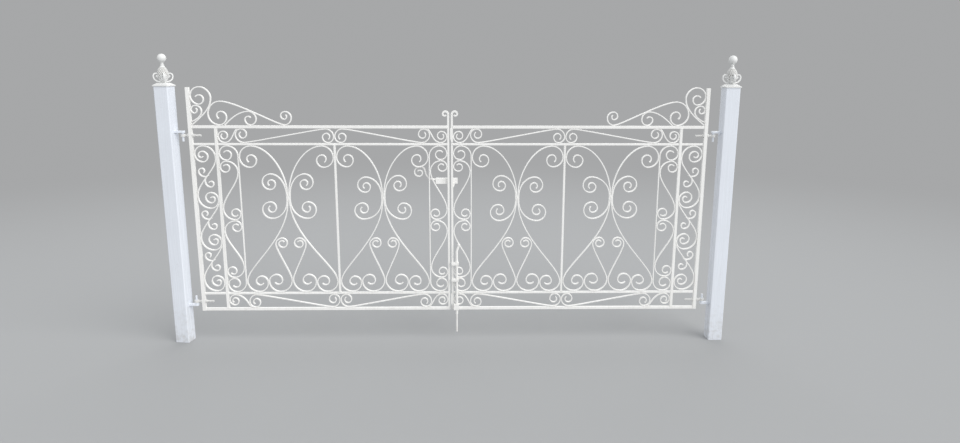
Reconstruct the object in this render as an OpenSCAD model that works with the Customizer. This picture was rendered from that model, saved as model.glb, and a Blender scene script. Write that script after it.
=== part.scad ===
// Pair of wrought iron driveway gates, hung between two square posts with ball finials.
// Millimetres. X runs along the gateway, Y from its front to its back, Z up.
// The origin is the middle of the left post's foot.
// Leaf sizes are drawn for one leaf, with U measured outward from the line where the leaves meet.

/* [Posts] */
// Distance from the line where the leaves meet to a post's inner face
half_opening = 1587.5; // [1430:0.5:1700]
// Side of the square post
post_w = 85; // [80:1:120]
// Height of the post's shaft
post_h = 1535; // [1500:5:1800]
// Wall of the hollow post
post_wall = 5; // [3:0.5:8]
// Radius of the post's rounded arrises
post_round = 6; // [6:0.5:8]
// Thickness of the plate that closes the post's foot
foot_plate = 8; // [5:1:12]
// How far the left post stands turned about its own axis, in degrees
left_turn = 8; // [0:1:12]

/* [Finials] */
// Overhang of the cap past the post
cap_lip = 4.5; // [2:0.5:10]
// Thickness of the cap's rim
cap_rim = 7; // [5:1:12]
// Rise of the cap's low crown
cap_crown = 12; // [8:1:16]
// Height of the pine cone body
cone_h = 114; // [100:1:130]
// Greatest radius of the pine cone body
cone_r = 29; // [26:0.5:34]
// Radius of the ball
ball_r = 24.5; // [22:0.5:30]
// Distance from the finial's axis to the outside of its scroll handles
handle_reach = 55; // [50:0.5:60]
// Thickness of the scroll handles
handle_t = 7; // [5:0.5:8]
// Depth of the scroll handles
handle_d = 9; // [6:0.5:12]
// How far the left finial is screwed round on its cap, in degrees
finial_turn = 28; // [0:1:45]

/* [Levels] */
// Height of the level under the leaves above the lowest post foot
level_z = 50; // [0:5:120]
// Gap from that level to the middle of the bottom rail
under_gap = 150; // [120:5:200]
// Distance between the middles of a band's two rails
band_h = 100; // [90:1:120]
// Distance between the middles of the two inner rails
panel_h = 905; // [800:5:1100]
// Height of the hanging stile's top above the middle of the top rail
horn_h = 225; // [200:5:280]

/* [Frame bars] */
// Distance from a post's inner face to the middle of its hanging stile
hang_gap = 87.5; // [80:0.5:100]
// Side of the hanging stile
hang_w = 20; // [20:1:30]
// Side of the meeting stile
meet_w = 12; // [12:1:16]
// Gap between the two meeting stiles
meet_gap = 9; // [9:0.5:16]
// Rise of the meeting stile's bent top above the middle of the top rail
meet_rise = 74; // [60:1:90]
// Height of the curl at the meeting stile's top
meet_curl = 31.5; // [28:0.5:36]
// Side of the top and bottom rails
rail_w = 16; // [12:1:20]
// Side of the two inner rails
inner_w = 12; // [10:1:16]
// Side of the square bar beside the hinge panel
square_w = 16; // [12:1:20]
// Side of the bar between the two wide bays
middle_w = 12; // [10:1:16]
// Thickness of the lap plates
lap_t = 4; // [3:0.5:6]
// Height of the lap plates
lap_h = 78; // [60:1:90]
// How far the lap plates stand into the gap between the leaves
lap_reach = 4; // [2:0.5:4]

/* [Panels] */
// Distance from the middle of the hanging stile to the middle of the square bar
hinge_panel_w = 145; // [135:1:155]
// Distance from the middle of the square bar to the back of the outer tall C scroll
side_panel_w = 119; // [110:1:130]
// Distance from the meeting line to the back of the inner tall C scroll
inner_back_u = 123.5; // [118:0.5:130]
// How much nearer the meeting line than midway the bar between the bays stands
middle_shift = 6; // [0:1:20]
// Rise of the lowest spiral of the hinge panel above its seat
vine_lift = 6; // [0:1:10]
// Rise from one spiral to the next, as a share of the panel's height
vine_pitch = 0.2818; // [0.26:0.0002:0.29]
// Height of the small leaf curls in the hinge panel
small_curl = 49; // [40:1:52]
// Distance along the bottom band by which its outer curls stand nearer the meeting line
band_slack = 20; // [0:1:24]
// Length along a band of its short scrolls' bend
band_bend = 58; // [45:1:64]

/* [Scroll bars] */
// Thickness of the flat bar that the scrolls are bent from
bar_t = 6; // [5:0.5:8]
// Depth of that flat bar
bar_d = 12; // [10:1:12]
// Gap left for the weld where a bar touches its neighbour
kiss = 0.2; // [0.1:0.05:0.4]

/* [Wide bays] */
// Height of a bay's waist above the middle of the panel
waist_z = 133; // [100:1:160]
// Length over which a bay's four bars run side by side
waist_len = 28; // [10:1:60]
// Rise of the waist scrolls' tops above that length
waist_rise = 131; // [115:1:140]
// Fall of the waist scrolls' feet below that length
waist_fall = 108; // [95:1:120]
// Sideways reach of the waist scrolls, as a share of half a bay
waist_reach = 0.352; // [0.32:0.002:0.38]
// Size of the waist scrolls' upper curls, as a share of half a bay
waist_top_curl = 0.34; // [0.3:0.002:0.36]
// Size of the waist scrolls' lower curls, as a share of half a bay
waist_low_curl = 0.366; // [0.32:0.002:0.38]
// Size of the lyre bars' upper curls, as a share of half a bay
lyre_curl = 0.463; // [0.42:0.001:0.48]
// Size of the heart's upper curls, as a share of half a bay
heart_curl = 0.274; // [0.25:0.002:0.29]
// Height of those curls' outer sides below the middle of the panel
heart_drop = 148; // [140:1:160]
// Distance from the bay's middle to those outer sides, as a share of half a bay
heart_out = 0.33; // [0.3:0.002:0.34]
// Size of the heart's lower curls, as a share of the bay's foot
heart_foot = 0.525; // [0.5:0.005:0.55]

/* [Crest] */
// Height of the round scroll at the top of the hanging stile
ear_curl = 102; // [90:1:110]
// Height of that scroll's top above the stile's top
ear_over = 3; // [0:0.5:6]
// Height of the bud under it
bud_curl = 59; // [50:1:64]
// Height of the great curl on the top rail
crest_curl = 136; // [120:1:140]
// Distance from the middle of the hanging stile to the great curl's top
crest_in = 182; // [178:1:200]
// Height of the hook on the great curl's back
hook_curl = 78; // [70:1:84]
// Distance from the middle of the hanging stile to the hook's top
hook_in = 338; // [330:1:350]
// Height of the curl at the crest's low end
far_curl = 77; // [70:1:90]
// Distance from the middle of the hanging stile to that curl's foot
far_in = 542; // [500:1:600]

/* [Hinges] */
// Distance from a post's inner face to the hinge pins
pin_gap = 42.5; // [38:0.5:46]
// Diameter of the hinge pins and of the eye bolts' shanks
pin_d = 12; // [10:0.5:13]
// Radial clearance of a pin in its eye
pin_play = 0.08; // [0.05:0.01:0.1]
// Outer diameter of an eye
eye_d = 26; // [24:1:30]
// Height of an eye
eye_h = 15; // [14:1:18]
// Gap between an eye and its gudgeon's arm
eye_gap = 8; // [4:0.5:10]
// Diameter of the shoulder that carries the lower eye
shoulder_d = 20; // [18:1:24]
// Thickness of a gudgeon's arm
arm_t = 12; // [10:1:16]
// Length of a gudgeon's pin past its eye
pin_end = 27; // [20:1:40]
// Length of thread that shows inside the hanging stile
thread_out = 50; // [30:1:60]
// Height of the eye bolts' nuts
nut_h = 9; // [7:1:12]
// Width of those nuts across their corners
nut_w = 21; // [19:0.5:24]

/* [Latch] */
// Fall of the latch bolt below the upper inner rail
latch_fall = 209.5; // [200:0.5:260]
// Side of the square latch bolt
latch_bar = 10; // [8:0.5:10]
// Travel of the latch bolt
latch_throw = 22; // [15:1:22]
// Clearance round the latch bolt
latch_play = 0.5; // [0.3:0.1:1]
// Distance from the meeting stile's edge to the case and to the keep
latch_set = 1.5; // [1:0.5:4]
// Length of the latch's case
latch_case_len = 80; // [70:1:84]
// Height of the latch's case
latch_case_h = 34; // [30:1:40]
// Depth of the latch's case
latch_case_d = 20; // [20:0.5:24]
// Rise of the case and the keep above the bolt's middle
latch_cap = 8; // [7:0.5:10]
// Thickness of the bolt's curled handle
latch_handle_t = 8; // [6:0.5:9]
// Height of the handle's curl
latch_handle_curl = 57; // [50:1:62]
// Rise of that curl's top above the bolt
latch_handle_rise = 75; // [65:1:80]
// Width of the keep
keep_w = 37; // [34:1:40]
// Height of the keep
keep_h = 54; // [50:1:60]
// Wall at the end of the keep's slot
keep_wall = 7; // [5:1:10]

/* [Drop bolt] */
// Diameter of the drop bolt
drop_d = 15; // [11:0.5:16]
// Diameter of its thin lower end
drop_tip_d = 10; // [6:0.5:12]
// Length of that thin end
drop_tip_len = 118; // [100:1:130]
// Height of the drop bolt's tip above the drive
drop_tip_z = 6; // [3:1:15]
// Height of the drop bolt's bend above the drive
drop_bend_z = 512; // [480:1:520]
// Distance from the meeting line to the drop bolt
drop_u = 36; // [32:1:40]
// Clearance between the drop bolt and the rails behind it
drop_clear = 5; // [5:0.5:8]
// Lean of the drop bolt's handle, in degrees
handle_lean = 18; // [10:1:30]
// Length of that handle
handle_len = 43; // [40:1:55]
// Diameter of the handle's knob
knob_d = 18; // [14:1:18]
// Height of the upper guide above the drive
guide_top = 436; // [420:1:440]
// Height of the middle guide above the drive
guide_mid = 335; // [320:1:350]
// Height of a guide
guide_h = 15; // [12:1:20]
// Height of the lowest guide, which stands on the bottom rail's front
guide_low_h = 38; // [20:1:40]
// Wall of a guide round the bolt
guide_wall = 5; // [4:0.5:8]

/* [Hidden] */
$fn = 48;
LEFT = -1;
RIGHT = 1;

// Places shared by the pieces
post_u = half_opening + post_w / 2;
hang_u = half_opening - hang_gap;
pin_u = half_opening - pin_gap;
square_u = hang_u - hinge_panel_w;
outer_back_u = square_u - side_panel_w;
middle_u = (inner_back_u + outer_back_u) / 2 - middle_shift;
hang_in = hang_u - hang_w / 2;
hang_out = hang_u + hang_w / 2;
square_in = square_u - square_w / 2;
square_out = square_u + square_w / 2;
meet_u = meet_gap / 2 + meet_w / 2;
meet_out = meet_gap / 2 + meet_w;
bottom_z = level_z + under_gap;
lower_z = bottom_z + band_h;
upper_z = lower_z + panel_h;
top_z = upper_z + band_h;
panel_z = (lower_z + upper_z) / 2;
// Half a bar and a weld gap: how far a bar's middle line lies from the face it touches
seat = bar_t / 2 + kiss;
// How far apart the middle lines of two touching bars lie
pair = bar_t + kiss;
panel_lo = lower_z + inner_w / 2 + seat;
panel_hi = upper_z - inner_w / 2 - seat;
top_eye_z = upper_z + band_h / 2;
bottom_eye_z = bottom_z + band_h / 2;
latch_z = upper_z - latch_fall;
latch_y = meet_w / 2 + latch_case_d / 2;
latch_slot = latch_bar + 2 * latch_play;
case_u = meet_gap / 2 + latch_set;
drop_y = -(rail_w / 2 + drop_d / 2 + drop_clear);
// Largest turn between two points of an arc, and the steps of a sweep
arc_step = 18;
sweep_steps = 8;
// How far a cut runs past the face that it starts from
past = 1;

// Shapes of the curls: the radii of their quarter turns as shares of their size
VOLUTE = [0.585, 0.415, 0.37, 0.255, 0.26, 0.185, 0.115];
WIDE = [0.54, 0.46, 0.32, 0.255, 0.185];
TALL_C = [0.57, 0.43, 0.35, 0.29, 0.22];
PANEL_S = [0.64, 0.36, 0.28, 0.25, 0.19];
BAND_S = [0.57, 0.43, 0.385, 0.29, 0.24];
BAND_END = [0.54, 0.46, 0.37, 0.32, 0.25];
SMALL = [0.62, 0.38, 0.31];
BUD = [0.56, 0.44, 0.31, 0.26];
HEART = [0.52, 0.4, 0.37, 0.31, 0.24];
WAIST = [0.53, 0.47, 0.35, 0.27, 0.2];
EAR = [0.52, 0.45, 0.28, 0.24];
CREST = [0.55, 0.45, 0.33, 0.24, 0.17];
HOOK = [0.56, 0.44, 0.39, 0.24];
STILE_TOP = [0.53, 0.47, 0.35];
LATCH = [0.54, 0.46, 0.36, 0.28];
HANDLE = [0.6, 0.4, 0.24];
// Turn of a curl's tip after its last quarter turn
TIP_TURN = 55;
// Angles round a curl between which the end of its neighbour lies against it, and the pull of the
// knots there, which keeps the end at an even distance
OVER_CURL = [58, 30];
OVER_PULL = 0.34;

// The bays' scrolls are bent by hand, and no two pairs agree. Each bay has its shifts [away from the
// bay's middle, up] of the waist's upper curl, its lower curl and the heart's curl, first for the
// half nearer the post.
EVEN = [0, 0];
LEFT_OUTER = [[EVEN, [4, 0], EVEN], [EVEN, [8, 0], EVEN]];
LEFT_INNER = [[[4, -19], [22, -5], EVEN], [[-7, -10], [16, -6], EVEN]];
RIGHT_OUTER = [[[2, -15], [5, 0], EVEN], [[20, -18], [8, -3], [9, 0]]];
RIGHT_INNER = [[[5, -19], [22, -16], [3, 0]], [[0, -11], [10, -16], EVEN]];

function dir(a) = [cos(a), sin(a)];
function unit(v) = v / norm(v);
function last(v) = v[len(v) - 1];

// Points along an arc that leaves p with heading h and turns by turn, without p itself
function arc(p, h, r, turn) =
    let (side = sign(turn), middle = p + side * r * dir(h + 90), n = max(1, ceil(abs(turn) / arc_step)))
    [for (i = [1:n]) middle - side * r * dir(h + 90 + turn * i / n)];

// Points of a curl that winds in from p: quarter turns of falling radius, then a short tip
function curl(p, h, hand, size, shape, i = 0) =
    i == len(shape) ? arc(p, h, size * last(shape), hand * TIP_TURN)
    : let (a = arc(p, h, size * shape[i], hand * 90))
      concat(a, curl(last(a), h + hand * 90, hand, size, shape, i + 1));

// Knots of a bar's end that lies against a curl of middle c on its side s, at the distance r from c
function over_curl(c, r, s) =
    [for (a = OVER_CURL) [c + r * [s * cos(a), sin(a)], s * a - 90, OVER_PULL]];

// Points of a smooth sweep between two knots, without the first. A knot is [point, heading, pull],
// where pull is how far its tangent reaches, as a share of the way to the next knot.
function sweep(a, b) =
    let (
        reach = norm(b[0] - a[0]),
        p1 = a[0] + a[2] * reach * dir(a[1]),
        p2 = b[0] - b[2] * reach * dir(b[1])
    )
    [for (i = [1:sweep_steps]) let (t = i / sweep_steps, s = 1 - t)
        s * s * s * a[0] + 3 * s * s * t * p1 + 3 * s * t * t * p2 + t * t * t * b[0]];

function sweeps(knots, i = 0) =
    i == len(knots) - 1 ? [] : concat(sweep(knots[i], knots[i + 1]), sweeps(knots, i + 1));

function reversed(v) = [for (i = [len(v) - 1:-1:0]) v[i]];

// Middle line of a bar: an optional curl [hand, size, shape] at each end, and knots between
function bar_line(knots, first = [], final = []) =
    let (a = knots[0], b = last(knots))
    concat(
        first == [] ? [] : reversed(curl(a[0], a[1] + 180, first[0], first[1], first[2])),
        [a[0]],
        sweeps(knots),
        final == [] ? [] : curl(b[0], b[1], final[0], final[1], final[2])
    );

// Sideways direction of a line at its point i
function across(line, i) =
    let (
        before = i == 0 ? [0, 0] : unit(line[i] - line[i - 1]),
        after = i == len(line) - 1 ? [0, 0] : unit(line[i + 1] - line[i]),
        along = unit(before + after)
    )
    [-along[1], along[0]];

// Outline of a bar of thickness t that narrows to t_end
module ribbon(line, t = bar_t, t_end = bar_t) {
    n = len(line) - 1;
    half = [for (i = [0:n]) (t + (t_end - t) * i / n) / 2];
    polygon(concat(
        [for (i = [0:n]) line[i] + half[i] * across(line, i)],
        [for (i = [n:-1:0]) line[i] - half[i] * across(line, i)]
    ));
}

// Stands a flat outline up in the gate's plane, with its thickness centred on y
module upright(depth, y = 0) {
    translate([0, y, 0])
        rotate([90, 0, 0])
            linear_extrude(depth, center = true)
                children();
}

module flat_bar(knots, first = [], final = []) {
    ribbon(bar_line(knots, first, final));
}

module bar(knots, first = [], final = []) {
    upright(bar_d)
        flat_bar(knots, first, final);
}

// Places a leaf drawn with U along +X on its own side of the meeting line
module leaf(side) {
    translate([post_u, 0, 0])
        mirror([side == LEFT ? 1 : 0, 0, 0])
            children();
}

// Bar from u0 to u1 and z0 to z1, with its depth centred on the gate's plane
module straight(u0, u1, z0, z1, depth) {
    translate([u0, -depth / 2, z0])
        cube([u1 - u0, depth, z1 - z0]);
}

// Leaves its children as they are, or flips them about the height z when half is 1
module mirror_about(z, half) {
    translate([0, 0, half * 2 * z])
        mirror([0, 0, half])
            children();
}

// Square with rounded corners
module round_square(w, r) {
    union() {
        square([w - 2 * r, w], center = true);
        square([w, w - 2 * r], center = true);
        for (x = [-1, 1], y = [-1, 1])
            translate([x * (w / 2 - r), y * (w / 2 - r)])
                circle(r);
    }
}

// Posts

function post_turn(side) = side == LEFT ? left_turn : 0;

// Stands its children on a post's axis, turned as the post is
module on_post(side, z) {
    translate([post_u + side * post_u, 0, z])
        rotate(-post_turn(side))
            children();
}

module post(side) {
    color("ghostwhite")
        on_post(side, 0) {
            linear_extrude(foot_plate)
                round_square(post_w, post_round);
            translate([0, 0, foot_plate])
                linear_extrude(post_h - foot_plate)
                    difference() {
                        round_square(post_w, post_round);
                        square(post_w - 2 * post_wall, center = true);
                    }
        }
}

// Profile of the finial's turned body, from just inside the cap to the top of the ball: CONE holds
// [radius, height] as shares of the body's greatest radius and of its height
CONE = [
    [0.52, 0], [0.62, 0.09], [0.78, 0.19], [0.95, 0.32], [1, 0.44], [0.92, 0.56], [0.74, 0.67],
    [0.45, 0.77], [0.28, 0.87], [0.26, 1]
];
neck_r = cone_r * last(CONE)[0];
ball_z = cone_h + sqrt(ball_r * ball_r - neck_r * neck_r);

module finial_profile() {
    first_a = asin((cone_h - ball_z) / ball_r);
    step_a = 12;
    polygon(concat(
        [[0, -past], [CONE[0][0] * cone_r, -past]],
        [for (c = CONE) [c[0] * cone_r, c[1] * cone_h]],
        [for (a = [first_a + step_a:step_a:90 - step_a / 2]) [ball_r * cos(a), ball_z + ball_r * sin(a)]],
        [[0, ball_z + ball_r]]
    ));
}

// One scroll handle of the finial: out and up from the foot, over, and curled in against the body
module finial_handle() {
    out = handle_reach - handle_t / 2;
    root = [cone_r * 0.3, handle_t * 0.7];
    side = [out, cone_h * 0.34];
    line = bar_line(
        [[root, 4, 0.55], [side, 90, 0.38]],
        [],
        [1, out - cone_r * 0.9, HANDLE]
    );
    upright(handle_d)
        ribbon(line, handle_t, handle_t);
}

// Low crown of the cap: a frustum with a square foot and top, sunk a little into the rim
module crown(w0, w1) {
    sunk = 1;
    intersection_for(a = [0, 90])
        rotate(a)
            upright(2 * w0)
                polygon([
                    [-w0 / 2, -sunk], [w0 / 2, -sunk], [w0 / 2, 0],
                    [w1 / 2, cap_crown], [-w1 / 2, cap_crown], [-w0 / 2, 0]
                ]);
}

module finial(side) {
    w = post_w + 2 * cap_lip;
    color("ghostwhite") {
        on_post(side, post_h) {
            linear_extrude(cap_rim)
                round_square(w, post_round);
            translate([0, 0, cap_rim])
                crown(w - post_round, w * 0.55);
        }
        translate([post_u + side * post_u, 0, post_h + cap_rim + cap_crown])
            rotate(side == LEFT ? finial_turn : 0) {
                rotate(45)
                    rotate_extrude()
                        finial_profile();
                for (a = [0:90:270])
                    rotate(a)
                        finial_handle();
            }
    }
}

// Hinges

// Distance from the meeting line to a post's inner face at the depth y
function face_u(side, y) = post_u - (post_w / 2 + y * sin(post_turn(side))) / cos(post_turn(side));

// Gudgeon: an arm from the post with a pin; up = 1 points the pin up, -1 down
module gudgeon(side, eye_z, up) {
    arm_z = eye_z - up * (eye_h / 2 + eye_gap + arm_t / 2);
    pin_len = arm_t / 2 + eye_gap + eye_h + pin_end;
    color("ghostwhite")
        leaf(side) {
            translate([0, 0, arm_z - arm_t / 2])
                linear_extrude(arm_t)
                    union() {
                        translate([pin_u, 0])
                            circle(d = eye_d);
                        polygon([
                            [pin_u, -eye_d / 2], [face_u(side, -eye_d / 2), -eye_d / 2],
                            [face_u(side, eye_d / 2), eye_d / 2], [pin_u, eye_d / 2]
                        ]);
                    }
            translate([pin_u, 0, up > 0 ? arm_z : arm_z - pin_len])
                cylinder(h = pin_len, d = pin_d);
            if (up > 0)
                translate([pin_u, 0, arm_z])
                    cylinder(h = arm_t / 2 + eye_gap - kiss, d = shoulder_d);
        }
}

// Eye bolt: an eye on a threaded shank through the hanging stile, with a nut on each side
module eye_bolt(side, z) {
    shank_end = pin_u - pin_d / 2 - eye_d / 8;
    color("gainsboro")
        leaf(side)
            difference() {
                union() {
                    translate([pin_u, 0, z - eye_h / 2])
                        cylinder(h = eye_h, d = eye_d);
                    translate([hang_in - thread_out, 0, z])
                        rotate([0, 90, 0])
                            cylinder(h = shank_end - hang_in + thread_out, d = pin_d);
                    for (u = [hang_in - nut_h, hang_out])
                        translate([u, 0, z])
                            rotate([0, 90, 0])
                                cylinder(h = nut_h, d = nut_w, $fn = 6);
                }
                translate([pin_u, 0, z - eye_h])
                    cylinder(h = 2 * eye_h, d = pin_d + 2 * pin_play);
            }
}

// Frame of a leaf

module hanging_stile(side) {
    color("white")
        leaf(side)
            difference() {
                straight(hang_in, hang_out, bottom_z - rail_w / 2, top_z + horn_h, hang_w);
                for (z = [top_eye_z, bottom_eye_z])
                    translate([hang_in - past, 0, z])
                        rotate([0, 90, 0])
                            cylinder(h = hang_w + 2 * past, d = pin_d + 2 * kiss);
            }
}

// Meeting stile: a bar whose top curls over, away from the other leaf
module meeting_stile(side) {
    neck = [meet_u, top_z + meet_rise];
    color("white")
        leaf(side) {
            straight(meet_gap / 2, meet_out, bottom_z - rail_w / 2, neck[1], meet_w);
            upright(meet_w)
                ribbon(concat([neck], curl(neck, 90, -1, meet_curl, STILE_TOP)), meet_w, meet_w * 0.65);
            if (side == RIGHT)
                for (z = [upper_z, bottom_z])
                    lap_plate(z + rail_w / 2 + lap_t);
        }
}

// Lap plate on the front of the meeting stile, short of the other leaf so that each leaf swings alone
module lap_plate(z) {
    edge = meet_gap / 2 - lap_reach;
    slope = lap_h * 0.3;
    upright(lap_t, -(meet_w + lap_t) / 2)
        polygon([
            [meet_out, z], [edge + slope / 4, z], [edge, z + slope],
            [edge, z + lap_h], [meet_out, z + lap_h]
        ]);
}

module band_rails(side, inner_z, outer_z) {
    color("white")
        leaf(side) {
            straight(meet_out, hang_in, outer_z - rail_w / 2, outer_z + rail_w / 2, rail_w);
            straight(meet_out, square_in, inner_z - inner_w / 2, inner_z + inner_w / 2, inner_w);
            straight(square_out, hang_in, inner_z - inner_w / 2, inner_z + inner_w / 2, inner_w);
        }
}

module square_bar(side) {
    color("white")
        leaf(side)
            straight(square_in, square_out, bottom_z + rail_w / 2, top_z - rail_w / 2, square_w);
}

module middle_bar(side) {
    color("white")
        leaf(side)
            straight(
                middle_u - middle_w / 2, middle_u + middle_w / 2,
                lower_z + inner_w / 2, upper_z - inner_w / 2, middle_w
            );
}

// Scrolls of a leaf

// Crest on the top rail beside the hanging stile: two round scrolls and two long falling ones
module crest_scrolls(side) {
    base = top_z + rail_w / 2;
    foot = base + seat;
    wall = hang_in - seat;
    ear_top = top_z + horn_h + ear_over;
    ear_u = wall - ear_curl * EAR[0];
    bud_top = ear_top - ear_curl * (EAR[0] + EAR[1]) - pair;
    crest_u = hang_u - crest_in;
    ear_foot = [hang_in - bar_t * 0.42, base + bar_t * 0.75];
    bud_foot = [hang_in - bar_t * 0.25, base + bar_t * 3.67];
    hook_foot = [crest_u - bar_t * 3, base + bar_t * 0.4];
    color("white")
        leaf(side)
            upright(bar_d)
                union() {
                    flat_bar(
                        [[ear_foot, 142, 0.33],
                            [[ear_u - ear_curl * 0.618, ear_top - ear_curl * 0.608], 90, 0.33],
                            [[ear_u, ear_top], 0, 0.4]],
                        [],
                        [-1, ear_curl, EAR]
                    );
                    flat_bar(
                        [[bud_foot, 158, 0.45],
                            [[wall - bud_curl, bud_top - bud_curl * BUD[0]], 90, 0.3]],
                        [],
                        [-1, bud_curl, BUD]
                    );
                    flat_bar(
                        [[[crest_u, foot + crest_curl], 180, 0.21], [[hang_u - far_in, foot], 180, 0.1]],
                        [-1, crest_curl, CREST],
                        [-1, far_curl, WIDE]
                    );
                    flat_bar(
                        [[hook_foot, 135, 0.3],
                            [[hang_u - hook_in, foot + hook_curl], 180, 0.35]],
                        [],
                        [1, hook_curl, HOOK]
                    );
                }
}

// Scrolls between the two upper rails: two long ones that meet over the middle bar, and a short
// one at each end. The outer curls stand nearer the meeting line by slack.
module band_scrolls(slack) {
    lo = upper_z + inner_w / 2;
    hi = top_z - rail_w / 2;
    size = hi - lo - 2 * seat;
    end_size = size * 0.82;
    end_r = end_size * BAND_END[0];
    long_r = size * BAND_S[0];
    curl_r = size * BAND_S[1];
    curl_z = lo + seat + long_r;
    outer_end_u = square_in - seat - end_r;
    outer_top_u = outer_end_u - band_bend;
    inner_end_u = meet_out + seat + end_r;
    inner_top_u = inner_end_u + band_bend;
    bar(
        concat(
            over_curl([outer_top_u - slack - pair - curl_r, curl_z], curl_r + pair, 1),
            [[[outer_end_u, lo + seat], 0, 0.4]]
        ),
        [],
        [1, end_size, BAND_END]
    );
    bar(
        [[[outer_top_u - slack - pair - long_r, lo + seat], 180, 0.08],
            [[middle_u + pair / 2 + long_r, hi - seat], 180, 0.08]],
        [1, size, BAND_S],
        [1, size, BAND_S]
    );
    bar(
        [[[middle_u - pair / 2 - long_r, hi - seat], 180, 0.08],
            [[inner_top_u + pair + long_r, lo + seat], 180, 0.08]],
        [-1, size, BAND_S],
        [-1, size, BAND_S]
    );
    bar(
        concat(
            over_curl([inner_top_u + pair + curl_r, curl_z], curl_r + pair, -1),
            [[[inner_end_u, lo + seat], 180, 0.4]]
        ),
        [],
        [-1, end_size, BAND_END]
    );
}

module top_band_scrolls(side) {
    color("white")
        leaf(side)
            band_scrolls(0);
}

module bottom_band_scrolls(side) {
    color("white")
        leaf(side)
            mirror_about(panel_z, 1)
                band_scrolls(band_slack);
}

// Hinge panel: a running vine of three bars with big spirals, each with two small curls
module hinge_panel_scrolls(side) {
    near = square_out + seat;
    far = hang_in - seat;
    size = far - near;
    pitch = panel_h * vine_pitch;
    drop = size * VOLUTE[0];
    color("white")
        leaf(side)
            upright(bar_d)
                union() {
                    for (i = [0:2]) {
                        foot = panel_lo + vine_lift + i * pitch;
                        cross = [(near + far) / 2, foot + drop + pitch * 0.463];
                        start = i == 2 ? [[near, panel_hi - drop], -90, 0.25]
                            : [[near, foot + pitch * 1.1], -64, 0.3];
                        flat_bar(
                            [start, [cross, -52.5, 0.6], [[far, foot + drop], -90, 0.25]],
                            i == 2 ? [-1, size, VOLUTE] : [],
                            [-1, size, VOLUTE]
                        );
                        flat_bar(
                            [[cross + small_curl * [-0.16, 0.14], -38, 0.4],
                                [cross + small_curl * [0.29, 0.02], 0, 0.4]],
                            [],
                            [1, small_curl, SMALL]
                        );
                        flat_bar(
                            [[cross + small_curl * [0.1, -0.08], -60, 0.4],
                                [cross + small_curl * [0.22, -0.63], -90, 0.4]],
                            [],
                            [-1, small_curl, SMALL]
                        );
                    }
                }
}

// Narrow panel between back_u and wall_u: a tall C whose straight back divides the leaf, and two
// S scrolls in it
module narrow_panel(back_u, wall_u) {
    way = sign(wall_u - back_u);
    c_size = abs(wall_u - back_u) - seat;
    c_drop = c_size * TALL_C[0];
    s_size = c_size - pair;
    s_top = panel_hi - c_size * (TALL_C[1] + TALL_C[2]) - pair;
    s_near = back_u + way * pair;
    s_far = s_near + way * s_size;
    s_drop = s_size * PANEL_S[0];
    bar(
        [[[back_u, panel_lo + c_drop], 90, 0.3], [[back_u, panel_hi - c_drop], 90, 0.3]],
        [way, c_size, TALL_C],
        [-way, c_size, TALL_C]
    );
    for (half = [0, 1])
        mirror_about(panel_z, half)
            bar(
                [[[s_near, s_top - s_drop], -90, 0.28],
                    [[s_far, panel_z + pair / 2 + s_drop], -90, 0.28]],
                [-way, s_size, PANEL_S],
                [-way, s_size, PANEL_S]
            );
}

module side_panel_scrolls(side) {
    color("white")
        leaf(side)
            narrow_panel(outer_back_u, square_in);
}

module meeting_panel_scrolls(side) {
    color("white")
        leaf(side)
            narrow_panel(inner_back_u, meet_out);
}

// Wide bay between u0 and u1: three bars on each side of its middle
module bay(u0, u1, shifts) {
    half_w = (u1 - u0) / 2 - seat;
    v0 = pair / 2;
    foot_w = half_w - v0 - pair;
    heart_size = foot_w * heart_foot;
    lyre_low = foot_w - heart_size;
    lyre_top = half_w * lyre_curl;
    reach = v0 + half_w * waist_reach;
    waist_hi = panel_z + waist_z + waist_len / 2;
    waist_lo = waist_hi - waist_len;
    for (m = [0, 1])
        translate([(u0 + u1) / 2, 0, 0])
            mirror([m, 0, 0]) {
                bar(
                    [[[half_w - lyre_top * WIDE[0], panel_hi], 180, 0.28],
                        [[v0, waist_hi], -90, 0.42],
                        [[v0, waist_lo], -90, 0.4],
                        [[half_w, panel_lo + lyre_low * WIDE[0]], -90, 0.157]],
                    [-1, lyre_top, WIDE],
                    [-1, lyre_low, WIDE]
                );
                bar(
                    [[[reach, waist_hi + waist_rise] + shifts[m][0], 180, 0.32],
                        [[v0 + pair, waist_hi], -90, 0.45],
                        [[v0 + pair, waist_lo], -90, 0.42],
                        [[reach, waist_lo - waist_fall] + shifts[m][1], 0, 0.36]],
                    [-1, half_w * waist_top_curl, WAIST],
                    [1, half_w * waist_low_curl, WAIST]
                );
                bar(
                    [[[half_w * heart_out, panel_z - heart_drop] + shifts[m][2], -90, 0.15],
                        [[v0, panel_lo + heart_size * WIDE[0]], -90, 0.15]],
                    [1, half_w * heart_curl, HEART],
                    [1, heart_size, WIDE]
                );
            }
}

module outer_bay_scrolls(side) {
    color("white")
        leaf(side)
            bay(middle_u + middle_w / 2, outer_back_u - bar_t / 2, side == LEFT ? LEFT_OUTER : RIGHT_OUTER);
}

module inner_bay_scrolls(side) {
    color("white")
        leaf(side)
            bay(inner_back_u + bar_t / 2, middle_u - middle_w / 2, side == LEFT ? LEFT_INNER : RIGHT_INNER);
}

// Latch, on the back of the leaves

// Slot for the latch bolt, from u0 on
module latch_slot_cut(u0, length) {
    translate([u0, latch_y - latch_slot / 2, latch_z - latch_slot / 2])
        cube([length, latch_slot, latch_slot]);
}

module latch_case() {
    color("white")
        leaf(LEFT)
            difference() {
                translate([case_u, meet_w / 2, latch_z + latch_cap - latch_case_h])
                    cube([latch_case_len, latch_case_d, latch_case_h]);
                latch_slot_cut(case_u - past, latch_case_len + 2 * past);
            }
}

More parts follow.
